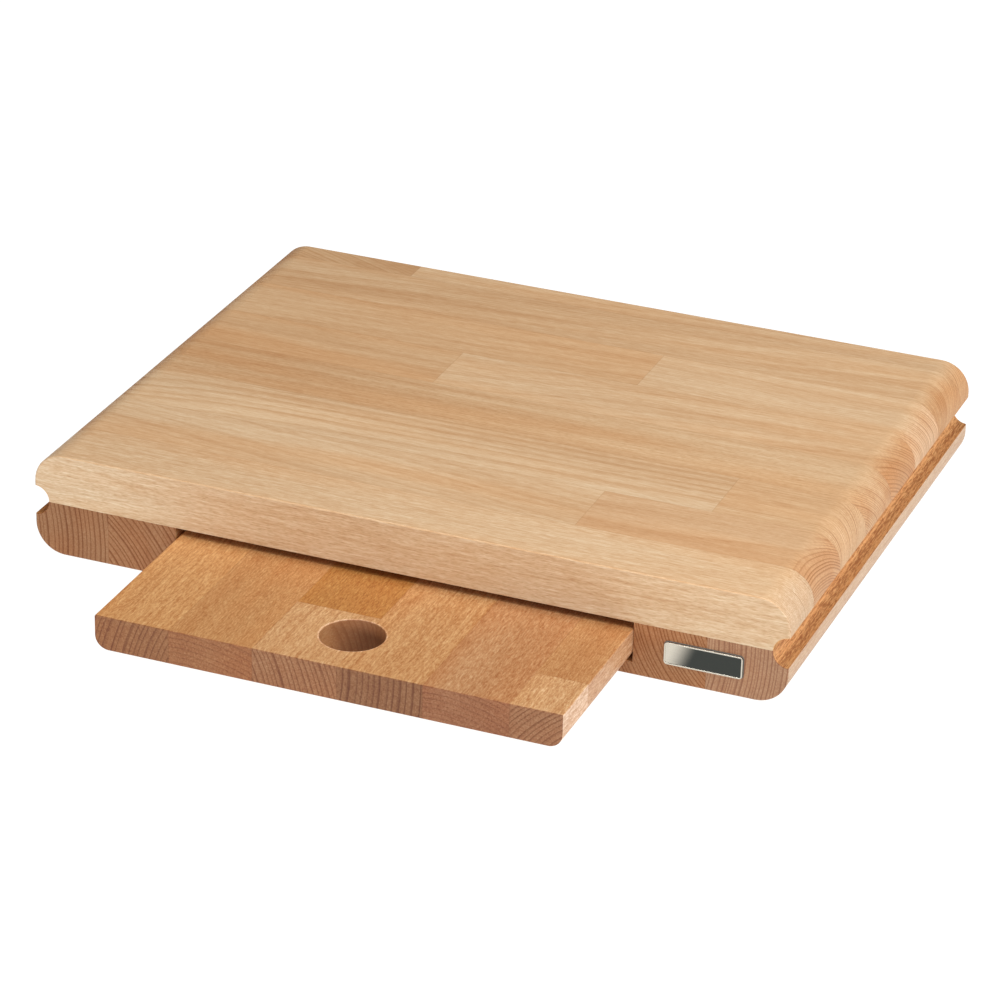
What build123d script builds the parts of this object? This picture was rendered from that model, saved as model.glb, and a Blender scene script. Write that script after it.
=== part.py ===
"""Beech chopping board on two runners, with a small board that slides out from under it.

Millimetres, +Z up. X runs along the chopping board and Y from its front to its back. The
origin is on the table, under the middle of the whole footprint, which counts the small
board where it stands part way out. Every stave and strip that is glued into a panel is a
solid of its own.
"""
from build123d import *
import os

# The chopping board: a slab of edge-glued staves that run along X.
board_length = 450.0
board_depth = 340.0
slab_thickness = 30.0
end_round = 18.0               # radius along the top of each short end
arris = 1.0                    # eased long edges of the slab

# Its staves, counted from the front. The middle ones share what is left.
front_stave_width = 40.0
rear_stave_width = 18.0
middle_stave_count = 6

# Butt joints in the rows that are made of two lengths, each from the nearer end.
stave_2_right_length = 138.5
stave_3_right_length = 75.5
stave_5_left_length = 168.0
stave_6_right_length = 171.5
stave_8_left_length = 94.0

# The runners that carry the slab, each glued up from an outer and an inner strip.
runner_height = 32.0
runner_width = 88.0            # outer face to the wall that guides the small board
outer_strip_width = 46.0
foot_round = 18.0              # radius of the outer bottom edge
foot_arris = 0.8
ledge_width = 20.0             # the step that the small board slides on
ledge_height = 7.5

# The half-round grip along each short end, centred on the joint of slab and runner.
grip_radius = 9.0

# The small board, of staves that run along Y.
small_board_thickness = 20.0
small_board_side_gap = 1.5     # to the runner wall on each side, when it is centred
small_board_shift = 1.2        # how far it lies to the right of the centre
running_gap = 0.3              # between the small board and the ledges
small_board_foot_round = 8.0   # radius of its two long bottom edges
small_board_arris = 0.8
pulled_out = 105.0             # how far it stands out at rest
first_stave_width = 44.0
last_stave_width = 29.8
inner_stave_count = 4
stave_c_front_length = 59.4
stave_f_front_length = 37.0
finger_hole_diameter = 36.0
finger_hole_setback = 35.7     # front edge of the small board to the hole's centre
finger_hole_shift = 0.7        # how far it lies to the right of the small board's centre
finger_hole_rim = 0.6

# The rail at the back that stops the small board when its front is flush.
stop_rail_depth = 18.0
stop_gap = 0.5

# Round dowels between the slab and what is glued under it.
dowel_diameter = 8.0
dowel_length = 36.0
dowel_in_slab = 16.0
dowel_chamfer = 1.0
dowel_glue_gap = 0.05          # around the dowel
dowel_end_gap = 0.5            # at each end of it
dowel_end_margin = 30.0        # first and last dowel of a strip, from front and back
dowels_per_strip = 3
rail_dowel_spacing = 160.0

# The bare metal plate on the front of the right runner, and the pad that holds it.
plate_length = 44.7
plate_height = 13.3
plate_thickness = 0.9
plate_corner = 2.0
plate_rim_width = 0.8
plate_rim_height = 0.3
plate_centre_height = 18.2     # above the table
plate_shift = 1.0              # how far it lies to the right of the runner's middle
pad_thickness = 0.3
pad_border = 0.4               # how far the pad shows round the plate

# Places worked out from the sizes above.
footprint_depth = board_depth + pulled_out
front_y = pulled_out - footprint_depth / 2
back_y = front_y + board_depth
end_x = board_length / 2
slab_top = runner_height + slab_thickness
wall_x = end_x - runner_width
strip_joint_x = end_x - outer_strip_width
ledge_x = wall_x - ledge_width
grip_x = end_x - grip_radius
middle_stave_width = (
    board_depth - front_stave_width - rear_stave_width
) / middle_stave_count
small_board_width = 2 * (wall_x - small_board_side_gap)
small_board_length = board_depth - stop_rail_depth - stop_gap
small_board_left = small_board_shift - small_board_width / 2
small_board_right = small_board_shift + small_board_width / 2
small_board_front = front_y - pulled_out
small_board_bottom = ledge_height + running_gap
small_board_top = small_board_bottom + small_board_thickness
inner_stave_width = (
    small_board_width - first_stave_width - last_stave_width
) / inner_stave_count
dowel_middle_z = runner_height + dowel_in_slab - dowel_length / 2


def block(x_low, x_high, y_low, y_high, z_low, z_high):
    """A box between two corners."""
    return Pos(
        (x_low + x_high) / 2, (y_low + y_high) / 2, (z_low + z_high) / 2
    ) * Box(x_high - x_low, y_high - y_low, z_high - z_low)


def bar(outline, y_low, y_high):
    """A bar along Y whose cross-section is an outline of edges drawn at y = 0."""
    section = make_face(outline)
    return Pos(0, y_low, 0) * extrude(section, amount=y_high - y_low, dir=(0, 1, 0))


def line(start, end):
    """A straight edge between two (x, z) points of a cross-section."""
    return Line((start[0], 0, start[1]), (end[0], 0, end[1]))


def arc(centre, start, end):
    """The shorter arc about an (x, z) centre from one point to another."""
    middle = Vector(start[0] + end[0], 0, start[1] + end[1]) * 0.5
    hub = Vector(centre[0], 0, centre[1])
    radius = Vector(start[0] - centre[0], 0, start[1] - centre[1]).length
    crown = hub + (middle - hub).normalized() * radius
    return ThreePointArc((start[0], 0, start[1]), crown, (end[0], 0, end[1]))


def edges_at(solid, y):
    """The edges of a bar that lie in its end face at one y."""
    return solid.edges().filter_by_position(Axis.Y, y - 0.01, y + 0.01)


# ---------------------------------------------------------------- dowels

def strip_dowel_places():
    """Centres of the dowels in the four runner strips."""
    inner_x = (wall_x + strip_joint_x) / 2
    outer_x = (strip_joint_x + grip_x) / 2
    first_y = front_y + dowel_end_margin
    step = (board_depth - 2 * dowel_end_margin) / (dowels_per_strip - 1)
    return [
        (side * x, first_y + step * index)
        for side in (-1, 1)
        for x in (inner_x, outer_x)
        for index in range(dowels_per_strip)
    ]


def rail_dowel_places():
    """Centres of the two dowels in the stop rail."""
    y = back_y - stop_rail_depth / 2
    return [(-rail_dowel_spacing / 2, y), (rail_dowel_spacing / 2, y)]


def dowel_places():
    """Centres of all the dowels."""
    return strip_dowel_places() + rail_dowel_places()


def make_dowels():
    """The dowels, one closed solid each, with eased ends."""
    peg = Cylinder(dowel_diameter / 2, dowel_length)
    peg = chamfer(peg.edges().filter_by(GeomType.CIRCLE), dowel_chamfer)
    return Compound([Pos(x, y, dowel_middle_z) * peg for x, y in dowel_places()])


def drill(piece, places):
    """Drill a piece for the dowels at some places."""
    depth = dowel_length + 2 * dowel_end_gap
    hole = Cylinder(dowel_diameter / 2 + dowel_glue_gap, depth)
    return piece - [Pos(x, y, dowel_middle_z) * hole for x, y in places]


# ---------------------------------------------------------------- slab

def slab_outline():
    """The slab seen from the front: round upper ends, and half of each grip below."""
    low = runner_height
    corners = [
        (-grip_x, low),
        (grip_x, low),
        (end_x, low + grip_radius),
        (end_x, slab_top - end_round),
        (end_x - end_round, slab_top),
        (end_round - end_x, slab_top),
        (-end_x, slab_top - end_round),
        (-end_x, low + grip_radius),
    ]
    return [
        line(corners[0], corners[1]),
        arc((end_x, low), corners[1], corners[2]),
        line(corners[2], corners[3]),
        arc((end_x - end_round, slab_top - end_round), corners[3], corners[4]),
        line(corners[4], corners[5]),
        arc((end_round - end_x, slab_top - end_round), corners[5], corners[6]),
        line(corners[6], corners[7]),
        arc((-end_x, low), corners[7], corners[0]),
    ]


def make_slab():
    """The whole slab, before it is parted into its staves."""
    slab = bar(slab_outline(), front_y, back_y)
    lip = runner_height + grip_radius
    for y in (front_y, back_y):
        upper = edges_at(slab, y).filter_by(lambda edge: edge.center().Z > lip)
        slab = fillet(upper, arris)
    return drill(slab, dowel_places())


def slab_rows():
    """Front and back of each row of staves, from the front."""
    edges = [front_y, front_y + front_stave_width]
    for _ in range(middle_stave_count):
        edges.append(edges[-1] + middle_stave_width)
    edges.append(back_y)
    return list(zip(edges, edges[1:]))


def slab_staves():
    """Every stave of the slab by name, as (x_low, x_high, y_low, y_high)."""
    joints = {
        2: end_x - stave_2_right_length,
        3: end_x - stave_3_right_length,
        5: stave_5_left_length - end_x,
        6: end_x - stave_6_right_length,
        8: stave_8_left_length - end_x,
    }
    staves = {}
    for number, (y_low, y_high) in enumerate(slab_rows(), start=1):
        joint = joints.get(number)
        if joint is None:
            staves[f"top_stave_{number}"] = (-end_x, end_x, y_low, y_high)
        else:
            staves[f"top_stave_{number}_left"] = (-end_x, joint, y_low, y_high)
            staves[f"top_stave_{number}_right"] = (joint, end_x, y_low, y_high)
    return staves


# ---------------------------------------------------------------- runners

def outer_strip_outline():
    """The outer strip of the right runner: rounded foot below, half a grip above."""
    return [
        line((strip_joint_x, 0), (end_x - foot_round, 0)),
        arc((end_x - foot_round, foot_round), (end_x - foot_round, 0), (end_x, foot_round)),
        line((end_x, foot_round), (end_x, runner_height - grip_radius)),
        arc((end_x, runner_height), (end_x, runner_height - grip_radius), (grip_x, runner_height)),
        line((grip_x, runner_height), (strip_joint_x, runner_height)),
        line((strip_joint_x, runner_height), (strip_joint_x, 0)),
    ]


def inner_strip_outline():
    """The inner strip of the right runner, with the ledge at its foot."""
    corners = [
        (ledge_x, 0),
        (strip_joint_x, 0),
        (strip_joint_x, runner_height),
        (wall_x, runner_height),
        (wall_x, ledge_height),
        (ledge_x, ledge_height),
    ]
    return [line(a, b) for a, b in zip(corners, corners[1:] + corners[:1])]


def crosses_foot(edge):
    """Whether an edge of an end face runs along the underside or up the rounded foot."""
    box = edge.bounding_box()
    return box.min.Z < 0.01 and box.size.X > 0.01


def make_strip(outline, places):
    """A strip of the right runner, eased underneath at both ends and drilled."""
    strip = bar(outline, front_y, back_y)
    for y in (front_y, back_y):
        strip = chamfer(edges_at(strip, y).filter_by(crosses_foot), foot_arris)
    return drill(strip, places)


def make_runner_strips():
    """Outer and inner strip of both runners, by name."""
    inner_places = [place for place in strip_dowel_places() if ledge_x < place[0] < strip_joint_x]
    outer_places = [place for place in strip_dowel_places() if place[0] > strip_joint_x]
    strips = {
        "inner_strip": make_strip(inner_strip_outline(), inner_places),
        "outer_strip": make_strip(outer_strip_outline(), outer_places),
    }
    made = {}
    for name, strip in strips.items():
        made[f"right_runner_{name}"] = strip
        made[f"left_runner_{name}"] = mirror(strip, Plane.YZ)
    return made


def make_stop_rail():
    """The rail between the runners at the back, glued on the ledges and to the slab."""
    rail = block(-wall_x, wall_x, back_y - stop_rail_depth, back_y, ledge_height, runner_height)
    return drill(rail, rail_dowel_places())


# ---------------------------------------------------------------- small board

def small_board_outline():
    """The small board seen from the front, with its two long bottom edges rounded."""
    low = small_board_bottom
    top = small_board_top
    knee = low + small_board_foot_round
    left = small_board_left
    right = small_board_right
    left_hub = left + small_board_foot_round
    right_hub = right - small_board_foot_round
    return [
        line((left_hub, low), (right_hub, low)),
        arc((right_hub, knee), (right_hub, low), (right, knee)),
        line((right, knee), (right, top)),
        line((right, top), (left, top)),
        line((left, top), (left, knee)),
        arc((left_hub, knee), (left, knee), (left_hub, low)),
    ]


def make_small_board():
    """The whole small board, before it is parted into its staves."""
    rear = small_board_front + small_board_length
    board = bar(small_board_outline(), small_board_front, rear)
    top = board.faces().sort_by(Axis.Z)[-1]
    board = fillet(top.edges(), small_board_arris)
    hole_y = small_board_front + finger_hole_setback
    middle_z = (small_board_bottom + small_board_top) / 2
    hole = Cylinder(finger_hole_diameter / 2, small_board_thickness)
    board -= Pos(small_board_shift + finger_hole_shift, hole_y, middle_z) * hole
    rims = board.edges().filter_by(GeomType.CIRCLE)
    rims = rims.filter_by(lambda edge: abs(edge.radius - finger_hole_diameter / 2) < 0.01)
    return fillet(rims, finger_hole_rim)


def small_board_staves():
    """Every stave of the small board by name, as (x_low, x_high, y_low, y_high)."""
    front = small_board_front
    rear = front + small_board_length
    edges = [small_board_left, small_board_left + first_stave_width]
    for _ in range(inner_stave_count):
        edges.append(edges[-1] + inner_stave_width)
    edges.append(small_board_right)
    joints = {"c": front + stave_c_front_length, "f": front + stave_f_front_length}
    staves = {}
    for letter, x_low, x_high in zip("abcdef", edges, edges[1:]):
        joint = joints.get(letter)
        if joint is None:
            staves[f"small_board_stave_{letter}"] = (x_low, x_high, front, rear)
        else:
            staves[f"small_board_stave_{letter}_front"] = (x_low, x_high, front, joint)
            staves[f"small_board_stave_{letter}_rear"] = (x_low, x_high, joint, rear)
    return staves


# ---------------------------------------------------------------- plate

def plate_place(back):
    """The plane of the plate's middle, facing the front, with its back at one y."""
    middle_x = (wall_x + grip_x) / 2 + plate_shift
    return Plane(origin=(middle_x, back, plate_centre_height), x_dir=(1, 0, 0), z_dir=(0, -1, 0))


def make_plate_pad():
    """The thin dark adhesive pad between the runner and the plate."""
    shape = RectangleRounded(
        plate_length + 2 * pad_border, plate_height + 2 * pad_border, plate_corner + pad_border
    )
    return plate_place(front_y) * extrude(shape, pad_thickness)


def make_plate():
    """The bare plate, with a raised rim."""
    outside = RectangleRounded(plate_length, plate_height, plate_corner)
    inside = RectangleRounded(
        plate_length - 2 * plate_rim_width,
        plate_height - 2 * plate_rim_width,
        plate_corner - plate_rim_width,
    )
    sheet = extrude(outside, plate_thickness)
    rim = Pos(0, 0, plate_thickness) * extrude(outside - inside, plate_rim_height)
    plate = sheet + rim
    crest = plate.faces().sort_by(Axis.Z)[-1]
    plate = fillet(crest.edges(), plate_rim_height * 0.45)
    return plate_place(front_y - pad_thickness) * plate


# ---------------------------------------------------------------- all of it

def part_panel(panel, staves, z_low, z_high):
    """Part a glued-up panel into its staves."""
    pieces = {}
    for name, (x_low, x_high, y_low, y_high) in staves.items():
        pieces[name] = panel & block(x_low, x_high, y_low, y_high, z_low, z_high)
    return pieces


def make_pieces():
    """Every piece by name."""
    pieces = part_panel(make_slab(), slab_staves(), runner_height, slab_top)
    pieces.update(make_runner_strips())
    pieces["stop_rail"] = make_stop_rail()
    pieces["dowels"] = make_dowels()
    pieces.update(
        part_panel(
            make_small_board(), small_board_staves(), small_board_bottom, small_board_top
        )
    )
    pieces["plate_pad"] = make_plate_pad()
    pieces["plate"] = make_plate()
    return pieces


os.makedirs("parts", exist_ok=True)
for name, piece in make_pieces().items():
    export_step(piece, f"parts/{name}.step")
    print(name, len(piece.solids()), round(piece.volume, 1))
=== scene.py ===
# %% [markdown]
# # A beech chopping board with a small board that slides out from under it
#
# The real object is almost all wood: a thick slab of glued-up staves stands on two runners,
# and a thin board slides between them. Its shape was settled beforehand, stave by stave, so
# this lesson is about finish. Every stave was cut from its own place in a tree, and the eye
# knows it: the rings, the flecks and the tone change at each glue line, and the lines on the
# long faces agree with the rings on the sawn ends. We get that by describing the trunk once,
# as a solid in three dimensions, and by letting each stave cut its own piece out of it.

import math

import bpy
from mathutils import Matrix, Vector


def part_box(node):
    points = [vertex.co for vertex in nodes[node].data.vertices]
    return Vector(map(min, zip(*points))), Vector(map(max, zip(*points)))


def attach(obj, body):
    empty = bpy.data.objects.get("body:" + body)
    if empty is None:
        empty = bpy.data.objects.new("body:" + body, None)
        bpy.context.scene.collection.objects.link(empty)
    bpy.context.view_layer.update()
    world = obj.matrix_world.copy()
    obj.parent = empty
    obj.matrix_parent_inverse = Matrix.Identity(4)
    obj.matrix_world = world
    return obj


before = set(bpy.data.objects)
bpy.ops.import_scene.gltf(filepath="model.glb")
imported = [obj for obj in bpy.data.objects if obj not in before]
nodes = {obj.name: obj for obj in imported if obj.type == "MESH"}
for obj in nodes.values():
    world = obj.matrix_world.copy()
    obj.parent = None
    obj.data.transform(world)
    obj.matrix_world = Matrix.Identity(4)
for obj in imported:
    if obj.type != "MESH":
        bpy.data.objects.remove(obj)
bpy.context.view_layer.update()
bpy.ops.object.select_all(action="DESELECT")

# %% [markdown]
# ## Camera
#
# The board is seen from its front right, from a little above, through a long lens: its
# parallel edges hardly draw together. We place the camera by the angles it looks from, and
# build its three axes from them, because a long lens shows the smallest error in direction.

# %% Camera
AZIMUTH = math.radians(21.219)      # to the right of straight in front
ELEVATION = math.radians(26.052)
ROLL = math.radians(1.52)
CAMERA_PLACE = Vector((0.7899, -2.0035, 1.0782))
LENS = 150.41                       # millimetres on a 36 mm sensor
SENSOR = 36.0

backward = Vector((
    math.sin(AZIMUTH) * math.cos(ELEVATION),
    -math.cos(AZIMUTH) * math.cos(ELEVATION),
    math.sin(ELEVATION),
))
level = Vector((0, 0, 1)).cross(backward).normalized()
right = level * math.cos(ROLL) + backward.cross(level) * math.sin(ROLL)
upward = backward.cross(right)

camera_data = bpy.data.cameras.new("camera")
camera_data.lens = LENS
camera_data.sensor_width = SENSOR
camera_data.sensor_height = SENSOR
camera = bpy.data.objects.new("camera", camera_data)
camera.matrix_world = Matrix((
    (right.x, upward.x, backward.x, CAMERA_PLACE.x),
    (right.y, upward.y, backward.y, CAMERA_PLACE.y),
    (right.z, upward.z, backward.z, CAMERA_PLACE.z),
    (0, 0, 0, 1),
))
bpy.context.scene.collection.objects.link(camera)
bpy.context.scene.camera = camera
print("camera looks down at", round(math.degrees(ELEVATION), 1), "degrees")

# %% [markdown]
# ## Light
#
# Product photographs of wood use big soft lights, so that no hard glare hides the grain. A
# large light on the right brightens the right end and the front right corner, and lets the
# far left fall off a little. One overhead lights the top, and a low one in front lights the
# fronts. The slot above the small board stays dark: the overhead light comes too steeply to
# reach in, and the low one only grazes the wood in there.

# %% Helper for the lights
def soft_light(name, place, aim, width, height, power, colour):
    """A rectangular light that faces a point."""
    data = bpy.data.lights.new(name, "AREA")
    data.shape = "RECTANGLE"
    data.size = width
    data.size_y = height
    data.energy = power
    data.color = colour
    light = bpy.data.objects.new(name, data)
    light.location = place
    light.rotation_euler = (Vector(place) - Vector(aim)).to_track_quat("Z", "Y").to_euler()
    bpy.context.scene.collection.objects.link(light)


# %% Lights
BOARD_MIDDLE = (0.0, 0.05, 0.04)
soft_light("key_light", (1.35, -0.35, 1.12), BOARD_MIDDLE,
           width=1.3, height=1.0, power=23.0, colour=(0.97, 1.0, 1.06))
soft_light("top_light", (-0.1, -0.2, 2.3), BOARD_MIDDLE,
           width=2.2, height=1.2, power=28.5, colour=(1.0, 0.97, 0.945))
soft_light("front_light", (-0.3, -2.1, 0.32), BOARD_MIDDLE,
           width=1.6, height=0.36, power=18.5, colour=(0.97, 0.99, 1.03))

SKY_STRENGTH = 0.10
world = bpy.data.worlds.new("studio")
world.use_nodes = True
background = world.node_tree.nodes["Background"]
background.inputs["Color"].default_value = (1.0, 1.0, 1.0, 1.0)
background.inputs["Strength"].default_value = SKY_STRENGTH
bpy.context.scene.world = world
bpy.context.scene.view_settings.view_transform = "Standard"

# %% [markdown]
# ## Small helpers for shader nodes
#
# A wood shader is a long sum. Written one node at a time it is hard to read, so these
# helpers let us write it as arithmetic. Each adds a node or two and hands back an output,
# and takes either plain values or the outputs of other nodes.

# %% Helpers for numbers and vectors
def wire(tree, value, socket):
    """Feed a socket from another node's output, or set it to a plain value."""
    if isinstance(value, bpy.types.NodeSocket):
        tree.links.new(value, socket)
    else:
        socket.default_value = value


def calc(tree, operation, *values, clamp=False):
    """One step of arithmetic on numbers."""
    node = tree.nodes.new("ShaderNodeMath")
    node.operation = operation
    node.use_clamp = clamp
    for value, socket in zip(values, node.inputs):
        wire(tree, value, socket)
    return node.outputs[0]


def vector_calc(tree, operation, *values):
    """One step of arithmetic on vectors."""
    node = tree.nodes.new("ShaderNodeVectorMath")
    node.operation = operation
    for value, socket in zip(values, node.inputs):
        wire(tree, value, socket)
    return node.outputs["Value" if operation in ("LENGTH", "DOT_PRODUCT") else "Vector"]


def scaled(tree, vector, number):
    """A vector times a number."""
    node = tree.nodes.new("ShaderNodeVectorMath")
    node.operation = "SCALE"
    wire(tree, vector, node.inputs[0])
    wire(tree, number, node.inputs["Scale"])
    return node.outputs["Vector"]


def fade(tree, value, low, high):
    """A smooth step, from 0 at low to 1 at high."""
    node = tree.nodes.new("ShaderNodeMapRange")
    node.interpolation_type = "SMOOTHSTEP"
    wire(tree, value, node.inputs["Value"])
    wire(tree, low, node.inputs["From Min"])
    wire(tree, high, node.inputs["From Max"])
    return node.outputs["Result"]


def fall(tree, value, low, high):
    """A smooth step down, from 1 at low to 0 at high."""
    return calc(tree, "SUBTRACT", 1.0, fade(tree, value, low, high))


def split(tree, vector):
    """The three parts of a vector."""
    node = tree.nodes.new("ShaderNodeSeparateXYZ")
    wire(tree, vector, node.inputs[0])
    return node.outputs[0], node.outputs[1], node.outputs[2]


def join(tree, x, y, z):
    """A vector of three parts."""
    node = tree.nodes.new("ShaderNodeCombineXYZ")
    for value, socket in zip((x, y, z), node.inputs):
        wire(tree, value, socket)
    return node.outputs[0]


def inset(tree, place, low, high):
    """How far inside a box a place is, along each of the three axes."""
    past_low = vector_calc(tree, "SUBTRACT", place, tuple(low))
    before_high = vector_calc(tree, "SUBTRACT", tuple(high), place)
    return split(tree, vector_calc(tree, "MINIMUM", past_low, before_high))


# %% Helpers for noise and colour
def noise(tree, vector, per_metre, detail=2.0, roughness=0.5, output="Fac"):
    """Soft noise about 0.5, with its own frequency along each axis."""
    node = tree.nodes.new("ShaderNodeTexNoise")
    wire(tree, vector_calc(tree, "MULTIPLY", vector, per_metre), node.inputs["Vector"])
    node.inputs["Scale"].default_value = 1.0
    node.inputs["Detail"].default_value = detail
    node.inputs["Roughness"].default_value = roughness
    return node.outputs[output]


def swing(tree, number, amount, rest=0.0):
    """Noise about 0.5 turned into a swing of some amount about a rest value."""
    return calc(tree, "MULTIPLY_ADD", calc(tree, "SUBTRACT", number, 0.5), amount, rest)


def mix_colour(tree, share, first, second, blend="MIX"):
    """The first colour, with some share of the second mixed in."""
    node = tree.nodes.new("ShaderNodeMix")
    node.data_type = "RGBA"
    node.blend_type = blend
    wire(tree, share, node.inputs["Factor"])
    wire(tree, first, node.inputs[6])
    wire(tree, second, node.inputs[7])
    return node.outputs[2]


def tint(tree, share, colour, by):
    """A colour multiplied by another one, to some share."""
    return mix_colour(tree, share, colour, by, blend="MULTIPLY")


# %% Helpers for materials
def new_material(name):
    """A new material, its node tree and its shader."""
    material = bpy.data.materials.new(name)
    material.use_nodes = True
    return material, material.node_tree, material.node_tree.nodes["Principled BSDF"]


def dress(name, material):
    """Give a piece a material in place of what it came with."""
    nodes[name].data.materials.clear()
    nodes[name].data.materials.append(material)


# %% Helpers for node groups
def new_group(name, inputs, outputs):
    """An empty node group with named inputs and outputs."""
    group = bpy.data.node_groups.new(name, "ShaderNodeTree")
    for label, kind in inputs:
        group.interface.new_socket(label, in_out="INPUT", socket_type="NodeSocket" + kind)
    for label, kind in outputs:
        group.interface.new_socket(label, in_out="OUTPUT", socket_type="NodeSocket" + kind)
    entry = group.nodes.new("NodeGroupInput")
    leave = group.nodes.new("NodeGroupOutput")
    return group, entry.outputs, leave.inputs


def use_group(tree, group, values):
    """Place a group in a tree, feed its inputs by name, and hand back its outputs."""
    node = tree.nodes.new("ShaderNodeGroup")
    node.node_tree = group
    for label, value in values.items():
        wire(tree, value, node.inputs[label])
    return node.outputs


# %% [markdown]
# ## The paper under the board
#
# In the photograph the white has been cut out along the board's outline: the paper is pure
# white right up to it, with no shadow, but under the board it is dark, as the finger hole
# shows. So our paper glows by itself everywhere but under the slab. A second, unlit sheet
# lies on it under the small board, clear along its edges, and slides along with the board.

# %% Floor
FLOOR_SIZE = 14.0
PAPER_COLOUR = (0.12, 0.12, 0.12, 1.0)
PAPER_ROUGHNESS = 0.9
PAPER_GLOW = 0.98
SHADE_START = 0.018            # the painted shade comes on between these depths inside the outlines
SHADE_FULL = 0.045


def panel_box(word):
    """The lowest and highest corner of all pieces whose names hold a word."""
    boxes = [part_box(name) for name in nodes if word in name]
    low = Vector([min(box[0][axis] for box in boxes) for axis in range(3)])
    high = Vector([max(box[1][axis] for box in boxes) for axis in range(3)])
    return low, high


def paper(name, word):
    """A sheet of dark grey paper, and a mask of painted shade well inside a panel's outline."""
    material, tree, shader = new_material(name)
    shader.inputs["Base Color"].default_value = PAPER_COLOUR
    shader.inputs["Roughness"].default_value = PAPER_ROUGHNESS
    place = tree.nodes.new("ShaderNodeTexCoord").outputs["Object"]
    x, y, _ = inset(tree, place, *panel_box(word))
    shade = fade(tree, calc(tree, "MINIMUM", x, y), SHADE_START, SHADE_FULL)
    return material, tree, shader, shade


bpy.ops.mesh.primitive_plane_add(size=FLOOR_SIZE, location=(0, 0, 0))
floor = bpy.context.object
floor.name = "floor"
# The glow keeps the paper evenly white. Under the slab it fades out, and the dark left there is
# painted shade.
floor_material, tree, shader, shade = paper("floor_paper", "top_stave")
glow = calc(tree, "SUBTRACT", 1.0, shade)
wire(tree, join(tree, glow, glow, glow), shader.inputs["Emission Color"])
shader.inputs["Emission Strength"].default_value = PAPER_GLOW
floor.data.materials.append(floor_material)

# %% The sheet of painted shade under the small board
SHEET_LIFT = 0.0002            # enough to keep the two sheets from flickering into each other
small_low, small_high = panel_box("small_board")
sheet_middle = (small_low + small_high) / 2
bpy.ops.mesh.primitive_plane_add(size=1, location=(sheet_middle.x, sheet_middle.y, SHEET_LIFT))
sheet = bpy.context.object
sheet.name = "small_board_shade_sheet"
sheet.scale = (small_high.x - small_low.x, small_high.y - small_low.y, 1)
bpy.ops.object.transform_apply(location=True, rotation=False, scale=True)
# The sheet is painted shade: dark, unlit paper under the small board, clear along its edges.
shade_sheet_material, tree, shader, shade = paper("painted_shade_paper", "small_board")
wire(tree, shade, shader.inputs["Alpha"])
sheet.data.materials.append(shade_sheet_material)
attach(sheet, "small_board")
bpy.ops.object.select_all(action="DESELECT")
print("unlit sheet:", round(sheet.dimensions.x, 4), "by", round(sheet.dimensions.y, 4), "m")

# %% [markdown]
# ## Beech, as a solid
#
# A tree lays down one ring a year round its pith, so at any point of the trunk the distance
# to the pith says which year we are in: pale early wood first, then a narrow darker line.
# Where a branch once left the trunk, the rings swell round it, and a board sawn there shows
# lines that bend. Beech also has rays, thin sheets of cells that run out from the pith like
# spokes. Cut across, they are the short dark flecks that everybody knows beech by; cut
# along, they are pale satin patches. If we build rings and rays in the trunk's own
# coordinates, each face of each stave shows the right one by itself.
#
# The group takes a place in the trunk, with the pith along its X axis, and the direction
# that the surface faces in that same trunk. It is long, so it is built in six cells.

# %% The group's sockets, and where we are in the trunk
WANDER_PER_METRE = (3.0, 11.0, 11.0)   # how often the grain wanders, along and across

beech_group, given, result = new_group(
    "solid_beech",
    [("Place", "Vector"), ("Facing", "Vector"), ("Seed", "Float"), ("Lean", "Vector"),
     ("Wander", "Float"), ("Swell", "Float"), ("Swell place", "Vector"), ("Swell reach", "Float"),
     ("Ring width", "Float"), ("Rings", "Float"), ("Bands", "Float"), ("Streaks", "Float"),
     ("Fibre", "Float"), ("Fibre count", "Float"), ("Flecks", "Float"), ("Pale", "Color"),
     ("Dark", "Color"), ("End grain and light tint", "Color"), ("Painted side light", "Color")],
    [("Colour", "Color"), ("Roughness", "Float"), ("Height", "Float")],
)
tree = beech_group
sown = vector_calc(tree, "ADD", given["Place"], join(tree, given["Seed"], given["Seed"], 0.0))
raw_along, _, _ = split(tree, given["Place"])
wander = noise(tree, sown, WANDER_PER_METRE, output="Color")
wander = vector_calc(tree, "SUBTRACT", wander, (0.5, 0.5, 0.5))
wander = vector_calc(tree, "MULTIPLY", wander, join(tree, 0.0, given["Wander"], given["Wander"]))
spot = vector_calc(tree, "ADD", given["Place"], wander)
spot = vector_calc(tree, "SUBTRACT", spot, scaled(tree, given["Lean"], raw_along))
along, across, depth = split(tree, spot)
spoke = join(tree, 0.0, across, depth)

# %% Which way the surface faces
facing_along, facing_across, _ = split(tree, vector_calc(tree, "ABSOLUTE", given["Facing"]))
end_grain = fade(tree, facing_along, 0.10, 0.80)
side_face = fade(tree, facing_across, 0.5, 1.0)
outward = vector_calc(tree, "NORMALIZE", spoke)
flat_sawn = calc(tree, "ABSOLUTE", vector_calc(tree, "DOT_PRODUCT", outward, given["Facing"]))
flat_sawn = fade(tree, flat_sawn, 0.25, 0.85)

# %% Years: the distance to the pith, swollen where a branch was
COLLAR_SHAPE = (1.0, 2.2, 2.2)         # a collar is longer along the trunk than around it
SPELLS_PER_YEAR = (0.31, 1.0, 1.0)     # wide and narrow rings come in spells of a few years
SPELL_SHIFT = 3.0                      # how many years such a spell can push a ring

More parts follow.
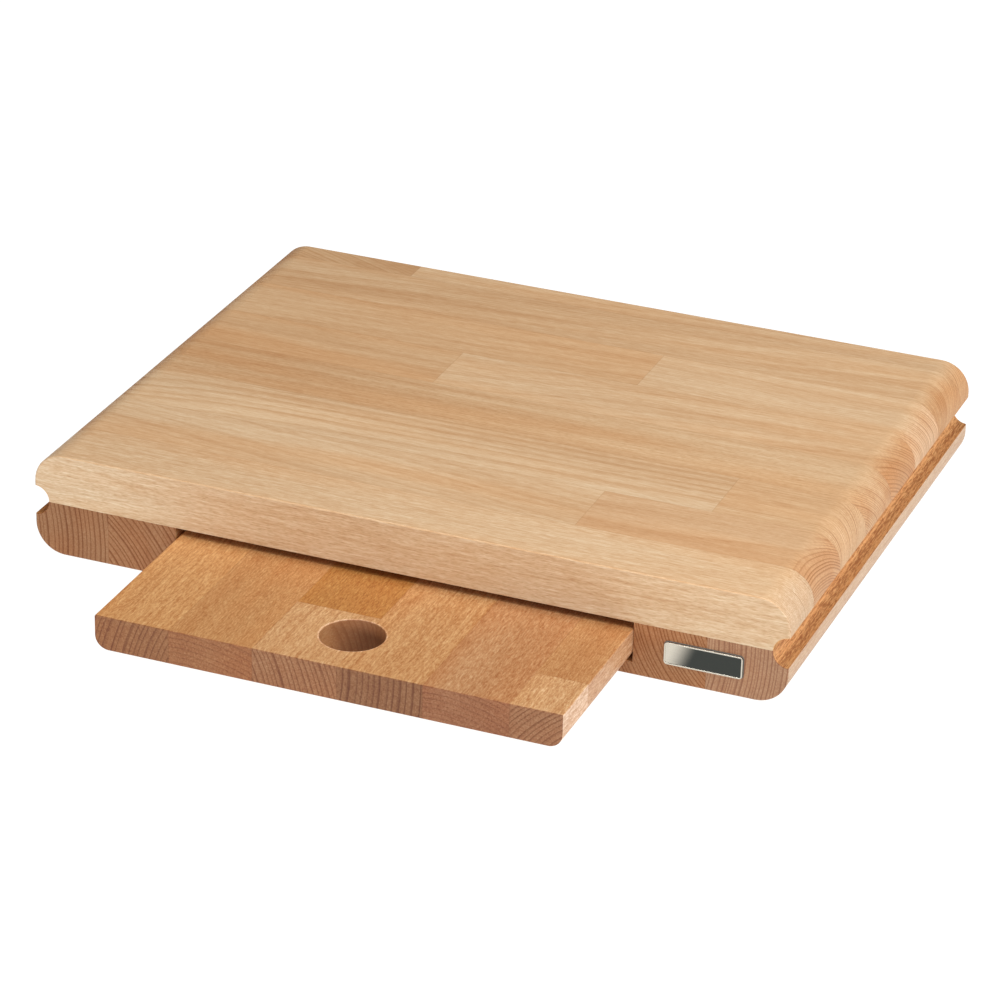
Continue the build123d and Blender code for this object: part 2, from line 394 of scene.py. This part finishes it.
from_branch = vector_calc(tree, "SUBTRACT", given["Place"], given["Swell place"])
from_branch = vector_calc(tree, "MULTIPLY", from_branch, COLLAR_SHAPE)
from_branch = calc(tree, "DIVIDE", vector_calc(tree, "LENGTH", from_branch), given["Swell reach"])
collar = calc(tree, "MULTIPLY", calc(tree, "POWER", from_branch, 2.0), -1.0)
collar = calc(tree, "EXPONENT", collar)
pith_distance = vector_calc(tree, "LENGTH", spoke)
pith_distance = calc(tree, "MULTIPLY_ADD", collar, given["Swell"], pith_distance)
even_years = calc(tree, "DIVIDE", pith_distance, given["Ring width"])
spell = noise(tree, join(tree, even_years, given["Seed"], 0.0), SPELLS_PER_YEAR)
years = swing(tree, spell, SPELL_SHIFT, even_years)
year_part = calc(tree, "FRACT", years)

# %% Rings: each year's dark line, and bands of pale and dark years
LATE_START = 0.35              # share of the year at which the wood begins to darken
LATE_START_SAWN = 0.50         # where it is sawn across, the line looks thinner
LATE_FULL = 0.90
LATE_END = 0.92                # from here to the end of the year the line breaks off
MARK_LUCK = 0.70               # share of a line's strength that differs from year to year
MARK_LUCK_SAWN = 0.35          # the same, where it is sawn across
BANDS_PER_YEAR = 0.22
BANDS_PER_METRE = 2.5

lottery = tree.nodes.new("ShaderNodeTexWhiteNoise")
lottery.noise_dimensions = "2D"
year_ticket = join(tree, calc(tree, "FLOOR", years), given["Seed"], 0.0)
wire(tree, year_ticket, lottery.inputs["Vector"])
year_luck = calc(tree, "MULTIPLY_ADD", end_grain, MARK_LUCK_SAWN - MARK_LUCK, MARK_LUCK)
year_sure = calc(tree, "SUBTRACT", 1.0, year_luck)
year_mark = calc(tree, "MULTIPLY_ADD", lottery.outputs["Value"], year_luck, year_sure)
late_start = calc(tree, "MULTIPLY_ADD", end_grain, LATE_START_SAWN - LATE_START, LATE_START)
late = fade(tree, year_part, late_start, LATE_FULL)
late = calc(tree, "SUBTRACT", late, fade(tree, year_part, LATE_END, 1.0), clamp=True)
ring = calc(tree, "MULTIPLY", late, year_mark)
band_place = join(
    tree,
    calc(tree, "MULTIPLY", even_years, BANDS_PER_YEAR),
    given["Seed"],
    calc(tree, "MULTIPLY", along, BANDS_PER_METRE),
)
band = noise(tree, band_place, (1.0, 1.0, 1.0), detail=3.0, roughness=0.6)

# %% Rays
RAY_LENGTH = 0.0042            # along the grain
RAY_REACH = 0.011              # out from the pith
RAY_THICKNESS = 0.0005
RAY_ARC_RADIUS = 0.08          # where the rays have that thickness
RAY_CORE = 0.12                # a ray fades out between these shares of its length
RAY_EDGE = 0.46

angle = calc(tree, "ARCTAN2", depth, across)
ray_place = join(
    tree,
    calc(tree, "DIVIDE", along, RAY_LENGTH),
    calc(tree, "DIVIDE", pith_distance, RAY_REACH),
    calc(tree, "MULTIPLY", angle, RAY_ARC_RADIUS / RAY_THICKNESS),
)
cells = tree.nodes.new("ShaderNodeTexVoronoi")
cells.inputs["Scale"].default_value = 1.0
wire(tree, ray_place, cells.inputs["Vector"])
ray = fall(tree, cells.outputs["Distance"], RAY_CORE, RAY_EDGE)
ray = calc(tree, "MULTIPLY", ray, given["Flecks"])

# %% Fibres, threads and streaks
FIBRES_ACROSS = 1450.0                 # per metre, across the grain
THREADS_ACROSS = 900.0
THREAD_COUNT_SHARE = 0.29              # along the grain, threads are longer than fibres
THREAD_SHARE = 0.55                    # and they show less
STREAKS_PER_METRE = (2.2, 60.0, 60.0)
DRIFT_PER_METRE = (3.5, 30.0, 30.0)

fibre_count = join(tree, given["Fibre count"], FIBRES_ACROSS, FIBRES_ACROSS)
fibre = noise(tree, sown, fibre_count, detail=3.0, roughness=0.75)
thread_count = calc(tree, "MULTIPLY", given["Fibre count"], THREAD_COUNT_SHARE)
thread_count = join(tree, thread_count, THREADS_ACROSS, THREADS_ACROSS)
thread = noise(tree, sown, thread_count, roughness=0.6)
thread_amount = calc(tree, "MULTIPLY", given["Fibre"], THREAD_SHARE)
streak = noise(tree, sown, STREAKS_PER_METRE, detail=3.0, roughness=0.6)

tone = swing(tree, streak, given["Streaks"], 1.0)
tone = calc(tree, "ADD", tone, swing(tree, band, given["Bands"]))
tone = calc(tree, "ADD", tone, swing(tree, fibre, given["Fibre"]))
tone = calc(tree, "ADD", tone, swing(tree, thread, thread_amount))

# %% The colour, the roughness and the height
RAY_DARK = (0.84, 0.77, 0.68, 1.0)
RAY_LIGHT = (1.04, 1.06, 1.09, 1.0)
RED_DRIFT = (1.02, 0.95, 0.88, 1.0)
END_LATE = (0.74, 0.64, 0.55, 1.0)     # late wood sawn across looks darker still
END_RINGS = 0.50                       # and its lines stand out more
GREEN_POWER = 1.8                      # a darker streak is also a redder one, so green
BLUE_POWER = 2.6                       # and blue swing further than red
ROUGHNESS = 0.50
ROUGHNESS_SWING = 0.16
END_ROUGHNESS = 0.10                   # added where it is sawn across
RAY_HEIGHT = -0.5                      # rays lie a little lower than the fibres

ring_share = calc(tree, "MULTIPLY_ADD", end_grain, END_RINGS, given["Rings"])
ring_share = calc(tree, "MULTIPLY", ring, ring_share, clamp=True)
late_colour = tint(tree, end_grain, given["Dark"], END_LATE)
colour = mix_colour(tree, ring_share, given["Pale"], late_colour)
drift = fade(tree, noise(tree, sown, DRIFT_PER_METRE), 0.40, 0.72)
colour = tint(tree, drift, colour, RED_DRIFT)
green_tone = calc(tree, "POWER", tone, GREEN_POWER)
blue_tone = calc(tree, "POWER", tone, BLUE_POWER)
colour = tint(tree, 1.0, colour, join(tree, tone, green_tone, blue_tone))
colour = tint(tree, ray, colour, mix_colour(tree, flat_sawn, RAY_LIGHT, RAY_DARK))
# End grain is darker. On some of the slab's rounded ends the tint is paler and bluer, as painted
# cool light that those ends face.
colour = tint(tree, end_grain, colour, given["End grain and light tint"])
# Faces that look across the grain take a painted side light: a paler, bluer sheen or a duller
# shade, set per piece.
colour = tint(tree, side_face, colour, given["Painted side light"])
wire(tree, colour, result["Colour"])

rough = swing(tree, fibre, ROUGHNESS_SWING, ROUGHNESS)
rough = calc(tree, "MULTIPLY_ADD", end_grain, END_ROUGHNESS, rough)
wire(tree, rough, result["Roughness"])
wire(tree, calc(tree, "MULTIPLY_ADD", ray, RAY_HEIGHT, fibre), result["Height"])
print("solid_beech has", len(tree.nodes), "nodes")

# %% [markdown]
# ## Glue lines, milled grips and the finger hole
#
# Where staves meet, the glue shows as a hairline a shade darker than the wood. The
# half-round finger grips were milled after the glue-up, across slab and runner alike: the
# cutter leaves a rougher, thirstier surface that took up more oil, with dark open pores. Its
# deep orange is partly that oil and partly painted warm bounce light and shade from inside
# the groove, and its lower half is darkened further as painted shade. The finger hole's wall
# is darkened as painted shade until its rings hardly show, and its rounded rim is lightened
# as a painted highlight. All three groups only make masks.

# %% The group for glue lines
GLUE_HAIRLINE = 0.00022
GLUE_START = GLUE_HAIRLINE * 0.6       # the hairline fades out between these distances
GLUE_END = GLUE_HAIRLINE * 1.6
FAR_OFF = 9.0                          # a plane that no piece comes near

glue_group, given, result = new_group(
    "glue_line",
    [("Place", "Vector"), ("Low", "Vector"), ("High", "Vector")],
    [("Mask", "Float")],
)
tree = glue_group
to_low = vector_calc(tree, "SUBTRACT", given["Place"], given["Low"])
to_low = vector_calc(tree, "ABSOLUTE", to_low)
to_high = vector_calc(tree, "SUBTRACT", given["Place"], given["High"])
to_high = vector_calc(tree, "ABSOLUTE", to_high)
near_x, near_y, _ = split(tree, vector_calc(tree, "MINIMUM", to_low, to_high))
nearest = calc(tree, "MINIMUM", near_x, near_y)
wire(tree, fall(tree, nearest, GLUE_START, GLUE_END), result["Mask"])

# %% The group for the milled grips
GRIP_RADIUS = 0.009
GRIP_SKIN = 0.0004             # how far the milled surface's mask reaches past the radius
SOLE_START = 0.0055            # the grip's lower half is darkened as painted shade between these depths
SOLE_FULL = 0.0088
GRIP_DREGS = 0.0077            # oil gathered this far down in the grip, and darkened the pores
GRIP_DREGS_WIDTH = 0.0015
DREGS_PORES = 0.10             # how many more pores there are for it
STRANDS_PER_METRE = (1500.0, 150.0, 1500.0)
PATCHES_PER_METRE = (400.0, 40.0, 400.0)
PATCH_SWING = 0.15
PORE_START = 0.47              # pores open where the strands' noise is above this
PORE_FULL = 0.67
_, runner_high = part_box("right_runner_outer_strip")

grip_group, given, result = new_group(
    "milled_grip",
    [("Place", "Vector")],
    [("Mask", "Float"), ("Sole shade", "Float"), ("Pores", "Float")],
)
tree = grip_group
x, _, z = split(tree, given["Place"])
sideways = calc(tree, "SUBTRACT", calc(tree, "ABSOLUTE", x), runner_high.x)
sunk = calc(tree, "SUBTRACT", runner_high.z, z)
from_hub = vector_calc(tree, "LENGTH", join(tree, sideways, sunk, 0.0))
milled = fall(tree, from_hub, GRIP_RADIUS, GRIP_RADIUS + GRIP_SKIN)
wire(tree, milled, result["Mask"])
sole_shade = fade(tree, sunk, SOLE_START, SOLE_FULL)
wire(tree, calc(tree, "MULTIPLY", milled, sole_shade), result["Sole shade"])
strand = noise(tree, given["Place"], STRANDS_PER_METRE, roughness=0.7)
strand = swing(tree, noise(tree, given["Place"], PATCHES_PER_METRE), PATCH_SWING, strand)
from_dregs = calc(tree, "ABSOLUTE", calc(tree, "SUBTRACT", sunk, GRIP_DREGS))
dregs = fall(tree, from_dregs, 0.0, GRIP_DREGS_WIDTH)
strand = calc(tree, "MULTIPLY_ADD", dregs, DREGS_PORES, strand)
pore = fade(tree, strand, PORE_START, PORE_FULL)
wire(tree, calc(tree, "MULTIPLY", pore, milled), result["Pores"])

# %% The group for the finger hole
HOLE_MIDDLE = (0.0019, -0.1868)
HOLE_RADIUS = 0.018
RIM_START = 0.0002             # the rounded rim lies between these distances off the wall
RIM_END = 0.0012

hole_group, given, result = new_group(
    "finger_hole",
    [("Place", "Vector")],
    [("Wall", "Float"), ("Rim", "Float")],
)
tree = hole_group
x, y, _ = split(tree, given["Place"])
off_x = calc(tree, "SUBTRACT", x, HOLE_MIDDLE[0])
off_y = calc(tree, "SUBTRACT", y, HOLE_MIDDLE[1])
off_wall = vector_calc(tree, "LENGTH", join(tree, off_x, off_y, 0.0))
off_wall = calc(tree, "SUBTRACT", off_wall, HOLE_RADIUS)
past_wall = fade(tree, off_wall, 0.0, RIM_START)
before_end = fall(tree, off_wall, RIM_END - RIM_START, RIM_END)
wire(tree, calc(tree, "SUBTRACT", 1.0, past_wall), result["Wall"])
wire(tree, calc(tree, "MULTIPLY", past_wall, before_end), result["Rim"])
print("masks:", glue_group.name, grip_group.name, hole_group.name)

# %% [markdown]
# ## One piece, one place in the trunk
#
# A Mapping node turns the grain along X and puts the trunk's pith where we want it beside a
# piece: below it for a flat-sawn face with arched figure, far off to one side for straight
# quarter-sawn lines. A lean of a few centimetres a metre lets the stave run out through the
# rings, which draws the arches. Everything else is the wood's own colour, but for the grips'
# and the hole's painted shade and highlight, and the painted light in some side and end tints.

# %% A material for one piece of beech
PALE = Vector((0.700, 0.458, 0.255))
DARK = Vector((0.574, 0.322, 0.150))
GLUE_TINT = (0.89, 0.85, 0.81, 1.0)
# The grips' deep orange: partly their oiled wood, partly painted warm bounce light and shade.
GRIP_OIL_AND_BOUNCE_TINT = (1.15, 0.92, 0.60, 1.0)
# Painted shade in the grips' lower half.
SOLE_SHADE_TINT = (0.69, 0.65, 0.61, 1.0)
PORE_TINT = (0.58, 0.44, 0.32, 1.0)
# The hole's wall is painted shade, mixed this far towards a dark brown.
HOLE_WALL_SHADE = (0.40, 0.160, 0.058, 1.0)
HOLE_WALL_SHADE_SHARE = 0.55
# A painted highlight on the hole's rounded rim.
RIM_HIGHLIGHT_TINT = (1.25, 1.38, 1.75, 1.0)
GRIP_ROUGHNESS = 0.25          # added in the grips
BUMP_STRENGTH = 0.5
MM = 0.001


def beech(name, grain, middle, glue, pith, lean=(0, 0), wander=8, ring=3.0, rings=0.5,
          bands=0.25, streaks=0.2, fibre=0.48, fibre_count=210, flecks=0.5, tone=1.0, warmth=0.0,
          blush=0.0, end_tint=(0.80, 0.69, 0.62), end_tone=1.0, side_tint=(1.0, 1.0, 1.0),
          swell=(0, 0, 0, 50), milled=False, bored=False, sheen=0.25, relief=0.05, seed=0.0):
    """Beech for one piece.

    The grain runs along X or Y. The pith's place is in millimetres behind (or to the right
    of) and above the piece's middle, and the lean is how far it drifts per metre of grain.
    The fibre count is per metre of grain. A swell is (push, along, aside, reach) of a
    branch's collar, and the relief is how high the fibres stand, both in millimetres. A
    milled piece has its share of the finger grips, and a bored one the finger hole.
    """
    material, tree, shader = new_material(name)
    coordinates = tree.nodes.new("ShaderNodeTexCoord").outputs
    if grain == "X":
        turn, side, here = 0.0, 1.0, middle.y
    else:                                       # turned, "aside" points the other way
        turn, side, here = -math.pi / 2, -1.0, -middle.x
    turned = []
    for kind, source in (("POINT", "Object"), ("VECTOR", "Normal")):
        mapping = tree.nodes.new("ShaderNodeMapping")
        mapping.vector_type = kind
        mapping.inputs["Rotation"].default_value = (0, 0, turn)
        wire(tree, coordinates[source], mapping.inputs["Vector"])
        turned.append(mapping.outputs["Vector"])
    pith_place = Vector((0, here + side * pith[0] * MM, middle.z + pith[1] * MM))
    push, branch_along, branch_aside, reach = swell
    branch = Vector((branch_along * MM, here + side * branch_aside * MM, middle.z)) - pith_place
    cast = Vector((1, 1 - 0.30 * warmth - blush, 1 - 0.62 * warmth)) * tone
    wood = use_group(tree, beech_group, {
        "Place": vector_calc(tree, "SUBTRACT", turned[0], pith_place),
        "Facing": turned[1],
        "Seed": seed,
        "Lean": (0, side * lean[0] * MM, lean[1] * MM),
        "Wander": wander * MM,
        "Swell": push * MM,
        "Swell place": branch,
        "Swell reach": reach * MM,
        "Ring width": ring * MM,
        "Rings": rings,
        "Bands": bands,
        "Streaks": streaks,
        "Fibre": fibre,
        "Fibre count": fibre_count,
        "Flecks": flecks,
        "Pale": [a * b for a, b in zip(PALE, cast)] + [1],
        "Dark": [a * b for a, b in zip(DARK, cast)] + [1],
        "End grain and light tint": [a * end_tone for a in end_tint] + [1],
        "Painted side light": list(side_tint) + [1],
    })
    place = coordinates["Object"]
    low, high = glue
    lines = use_group(tree, glue_group, {"Place": place, "Low": low, "High": high})
    colour = tint(tree, lines["Mask"], wood["Colour"], GLUE_TINT)
    roughness = wood["Roughness"]
    if milled:
        grip = use_group(tree, grip_group, {"Place": place})
        # The grip: deeper orange, partly painted bounce light and shade, with its lower half darker
        # as painted shade, and dark pores.
        shaded_hollow = tint(tree, 1.0, colour, GRIP_OIL_AND_BOUNCE_TINT)
        shaded_hollow = tint(tree, grip["Sole shade"], shaded_hollow, SOLE_SHADE_TINT)
        shaded_hollow = tint(tree, grip["Pores"], shaded_hollow, PORE_TINT)
        colour = mix_colour(tree, grip["Mask"], colour, shaded_hollow)
        roughness = calc(tree, "MULTIPLY_ADD", grip["Mask"], GRIP_ROUGHNESS, roughness)
    if bored:
        # The hole's wall is darkened as painted shade, and its rim is lightened as a painted
        # highlight.
        hole = use_group(tree, hole_group, {"Place": place})
        shaded_hollow = mix_colour(tree, HOLE_WALL_SHADE_SHARE, colour, HOLE_WALL_SHADE)
        painted_rim = tint(tree, hole["Rim"], colour, RIM_HIGHLIGHT_TINT)
        colour = mix_colour(tree, hole["Wall"], painted_rim, shaded_hollow)
    bump = tree.nodes.new("ShaderNodeBump")
    bump.inputs["Strength"].default_value = BUMP_STRENGTH
    bump.inputs["Distance"].default_value = relief * MM
    wire(tree, wood["Height"], bump.inputs["Height"])
    wire(tree, colour, shader.inputs["Base Color"])
    wire(tree, roughness, shader.inputs["Roughness"])
    wire(tree, bump.outputs["Normal"], shader.inputs["Normal"])
    shader.inputs["Specular IOR Level"].default_value = sheen
    return material


# %% Giving a piece its beech
def finish_beech(name, grain, panel, **cut):
    """Give one piece its own beech, with glue lines where it meets the rest of its panel."""
    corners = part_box(name)
    glue = [
        [FAR_OFF if abs(own - outer) < MM else own for own, outer in zip(corner, panel_corner)]
        for corner, panel_corner in zip(corners, panel)
    ]
    middle = (corners[0] + corners[1]) / 2
    dress(name, beech(name + "_beech", grain, middle, glue, **cut))


# %% [markdown]
# ## The slab
#
# Thirteen staves in eight rows make up the top. They come from several trees, and whoever
# glued them up mixed flat-sawn and quarter-sawn wood. We go through them row by row, from
# the front, and give each the cut that its figure tells of.

# %% The slab's three front rows
slab = dict(grain="X", panel=panel_box("top_stave"), milled=True, fibre_count=140)
# Row 1's side and end tints are paler and bluer than its wood: painted cool light on its front and
# on its rounded end.
finish_beech("top_stave_1", **slab, pith=(95, 30), ring=1.4, rings=0.25, bands=0.12,
             streaks=0.18, fibre=0.65, flecks=0.8, wander=4, tone=1.02, warmth=-0.06,
             end_tint=(0.92, 0.96, 1.05), side_tint=(0.92, 0.99, 1.08), seed=1.0)
finish_beech("top_stave_2_left", **slab, pith=(52, -60), lean=(-120, 20), ring=4.0,
             rings=0.40, bands=0.30, streaks=0.25, flecks=0.35, tone=1.00, warmth=-0.05, seed=2.0)
finish_beech("top_stave_2_right", **slab, pith=(-38, -76), lean=(60, 0), ring=1.7, wander=16,
             rings=0.45, bands=0.30, streaks=0.25, flecks=0.5, tone=0.95, warmth=0.14, blush=0.01,
             end_tint=(0.88, 0.77, 0.69), seed=3.0)
finish_beech("top_stave_3_left", **slab, pith=(-34, -58), lean=(6, 4), ring=3.6,
             rings=0.70, bands=0.45, flecks=0.2, wander=6, tone=1.02, warmth=-0.20,
             swell=(9, -232, 0, 55), seed=4.0)
finish_beech("top_stave_3_right", **slab, pith=(52, -22), ring=1.6, rings=0.45,
             bands=0.35, tone=0.97, warmth=0.14, end_tint=(0.97, 0.97, 0.99), seed=5.0)

# %% The slab's middle rows
finish_beech("top_stave_4", **slab, pith=(-62, -52), lean=(20, 0), ring=1.35, rings=0.40,
             bands=0.45, streaks=0.45, flecks=0.8, wander=6, tone=0.92, warmth=0.18,
             end_tint=(0.93, 0.87, 0.84), seed=6.0)
finish_beech("top_stave_5_left", **slab, pith=(30, -80), lean=(40, 10), ring=4.5,
             rings=0.35, bands=0.40, flecks=0.3, tone=0.935, warmth=0.19, seed=7.0)
finish_beech("top_stave_5_right", **slab, pith=(-46, -100), lean=(-40, 60), ring=2.1,
             rings=0.35, bands=0.50, flecks=0.25, tone=0.995, warmth=-0.04, swell=(14, -60, 20, 75),
             end_tint=(0.83, 0.66, 0.53), seed=8.0)
finish_beech("top_stave_6_left", **slab, pith=(-40, -70), lean=(60, 15), ring=3.4,
             rings=0.35, bands=0.40, flecks=0.3, tone=0.96, warmth=0.16, seed=9.0)
finish_beech("top_stave_6_right", **slab, pith=(-58, -36), lean=(-60, 30), ring=2.2,
             rings=0.45, bands=0.35, flecks=0.15, tone=1.00, warmth=-0.05,
             swell=(9, 150, -12, 45), end_tint=(1.0, 0.94, 0.94), seed=10.0)

# %% The slab's rear rows
finish_beech("top_stave_7", **slab, pith=(60, -60), lean=(110, -20), ring=1.4,
             rings=0.40, bands=0.50, streaks=0.30, flecks=0.2, wander=10, tone=0.96, warmth=0.08,
             end_tint=(0.86, 0.72, 0.60), seed=11.0)
finish_beech("top_stave_8_left", **slab, pith=(30, -45), lean=(-400, 60), ring=3.0,
             rings=0.90, bands=0.60, flecks=0.2, tone=0.92, warmth=0.17, seed=12.0)
finish_beech("top_stave_8_right", **slab, pith=(60, -50), lean=(30, 0), ring=1.5,
             rings=0.40, bands=0.40, flecks=0.3, tone=0.98, warmth=-0.06,
             end_tint=(0.96, 0.81, 0.68), seed=13.0)

# %% [markdown]
# ## Runners, stop rail and dowels
#
# The runners' fronts are sawn ends, so this is where the rings are plainest: dark lines two
# to three millimetres apart, near upright in the outer strips, slanting in the inner ones.

# %% The runners
runner = dict(grain="Y", rings=0.75, wander=5, fibre=0.7, end_tint=(0.55, 0.425, 0.36))
left_runner = dict(runner, panel=panel_box("left_runner"), ring=2.9)
right_runner = dict(runner, panel=panel_box("right_runner"), ring=2.1)
finish_beech("left_runner_outer_strip", **left_runner, pith=(-150, -8), milled=True,
             tone=0.90, warmth=0.22, end_tone=0.91, seed=21.0)
finish_beech("left_runner_inner_strip", **left_runner, pith=(-95, -60),
             tone=0.94, warmth=0.30, end_tone=0.94, seed=22.0)
finish_beech("right_runner_inner_strip", **right_runner, pith=(76, 34),
             tone=0.98, warmth=0.34, seed=23.0)
# Its side tint makes the right side darker and greyer than the wood: painted shade set against the
# key light's sheen.
finish_beech("right_runner_outer_strip", **right_runner, pith=(-150, 14), milled=True,
             end_tone=0.95, side_tint=(0.86, 0.83, 0.86), sheen=0.6, seed=24.0)

# %% The stop rail and the dowels
finish_beech("stop_rail", "X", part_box("stop_rail"), pith=(-90, -40), tone=0.88, warmth=0.1,
             seed=31.0)
finish_beech("dowels", "X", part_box("dowels"), pith=(-200, -90), tone=0.95, seed=32.0)

# %% [markdown]
# ## The small board
#
# Its staves run the other way, from front to back, and it has been oiled more: the same
# wood, but warmer and darker. The sawn ends along its front show every direction of ring.

# %% The small board's staves
small_board = dict(grain="Y", panel=panel_box("small_board"), streaks=0.30, fibre=1.3,
                   fibre_count=380, flecks=0.9, end_tint=(0.54, 0.435, 0.405), sheen=0.4,
                   relief=0.12)
PAINTED_EDGE_SHEEN = (1.12, 1.32, 1.86)             # painted sheen: its right edge is made paler and bluer than the wood
SMALL_CUTS = {
    "a": dict(pith=(95, -35), ring=3.4, rings=0.6, tone=0.86, warmth=0.84, end_tone=0.82),
    "b": dict(pith=(-12, -90), ring=3.0, rings=0.1, tone=0.77, warmth=0.84, blush=0.01,
              end_tone=1.04),
    "c_front": dict(pith=(-100, -35), ring=3.1, rings=0.6, tone=0.87, warmth=0.62, end_tone=0.93,
                    bored=True),
    "c_rear": dict(pith=(60, -60), ring=2.6, rings=0.4, tone=0.70, warmth=1.14),
    "d": dict(pith=(-110, 5), ring=3.6, rings=0.7, tone=0.84, warmth=0.73, end_tone=0.77,
              bored=True),
    "e": dict(pith=(-16, -80), ring=3.0, rings=0.1, tone=0.72, warmth=0.74, blush=0.045,
              end_tone=1.07),
    "f_front": dict(pith=(60, -55), ring=2.6, rings=0.6, tone=0.89, warmth=0.56,
                    end_tone=0.91, side_tint=PAINTED_EDGE_SHEEN),
    "f_rear": dict(pith=(-75, -30), ring=2.6, rings=0.5, tone=0.72, warmth=0.88, blush=0.03,
                   side_tint=PAINTED_EDGE_SHEEN),
}
FIRST_SMALL_SEED = 41.0
for number, (letter, cut) in enumerate(SMALL_CUTS.items()):
    finish_beech("small_board_stave_" + letter, **small_board, seed=FIRST_SMALL_SEED + number,
                 **cut)

# %% [markdown]
# ## The plate
#
# A small polished plate with a raised rim is stuck to the right runner. Its field is bare
# metal at the left and runs into a dark painted reflection towards the right; the rim is
# bare polished metal. The plate carries no words.

# %% The plate's metal, with a painted dark reflection
RIM_INNER = 0.00072            # the rim gives way to the field between these insets
RIM_GONE = 0.00096
FIELD_SLANT = -0.12            # how far the painted dark reflection's edge leans, as a share of the length
FIELD_START = -0.02            # the painted dark reflection comes on between these shares of the length
FIELD_FULL = 0.32
BRUSHED_PER_METRE = (90.0, 900.0, 5000.0)
METAL_DULL = (0.56, 0.52, 0.43, 1.0)
METAL_BRIGHT = (0.68, 0.64, 0.55, 1.0)
METAL_PAINTED_REFLECTION = (0.048, 0.052, 0.047, 1.0)
METAL_ROUGHNESS = 0.24
METAL_ROUGHNESS_SWING = 0.10

plate_low, plate_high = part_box("plate")
plate_size = plate_high - plate_low
plate_metal, tree, shader = new_material("plate_metal")
place = tree.nodes.new("ShaderNodeTexCoord").outputs["Object"]
x, _, z = split(tree, place)
from_left = calc(tree, "DIVIDE", calc(tree, "SUBTRACT", x, plate_low.x), plate_size.x)
rise = calc(tree, "DIVIDE", calc(tree, "SUBTRACT", z, plate_low.z), plate_size.z)
slant = calc(tree, "MULTIPLY_ADD", rise, FIELD_SLANT, from_left)
reflection_share = fade(tree, slant, FIELD_START, FIELD_FULL)
inset_x, _, inset_z = inset(tree, place, plate_low, plate_high)
in_field = fade(tree, calc(tree, "MINIMUM", inset_x, inset_z), RIM_INNER, RIM_GONE)
reflection_share = calc(tree, "MULTIPLY", reflection_share, in_field)
brushed = noise(tree, place, BRUSHED_PER_METRE)
bare = mix_colour(tree, brushed, METAL_DULL, METAL_BRIGHT)
# The field darkens from left to right as a painted reflection.
wire(tree, mix_colour(tree, reflection_share, bare, METAL_PAINTED_REFLECTION), shader.inputs["Base Color"])
rough = swing(tree, brushed, METAL_ROUGHNESS_SWING, METAL_ROUGHNESS)
wire(tree, rough, shader.inputs["Roughness"])
shader.inputs["Metallic"].default_value = 1.0
dress("plate", plate_metal)

# %% The pad behind it
FOAM_PER_METRE = (2500.0, 2500.0, 2500.0)
FOAM_DARK = (0.10, 0.09, 0.08, 1.0)
FOAM_PALE = (0.20, 0.18, 0.16, 1.0)
FOAM_ROUGHNESS = 0.8

pad_foam, tree, shader = new_material("pad_foam")
place = tree.nodes.new("ShaderNodeTexCoord").outputs["Object"]
foam = noise(tree, place, FOAM_PER_METRE)
wire(tree, mix_colour(tree, foam, FOAM_DARK, FOAM_PALE), shader.inputs["Base Color"])
shader.inputs["Roughness"].default_value = FOAM_ROUGHNESS
dress("plate_pad", pad_foam)
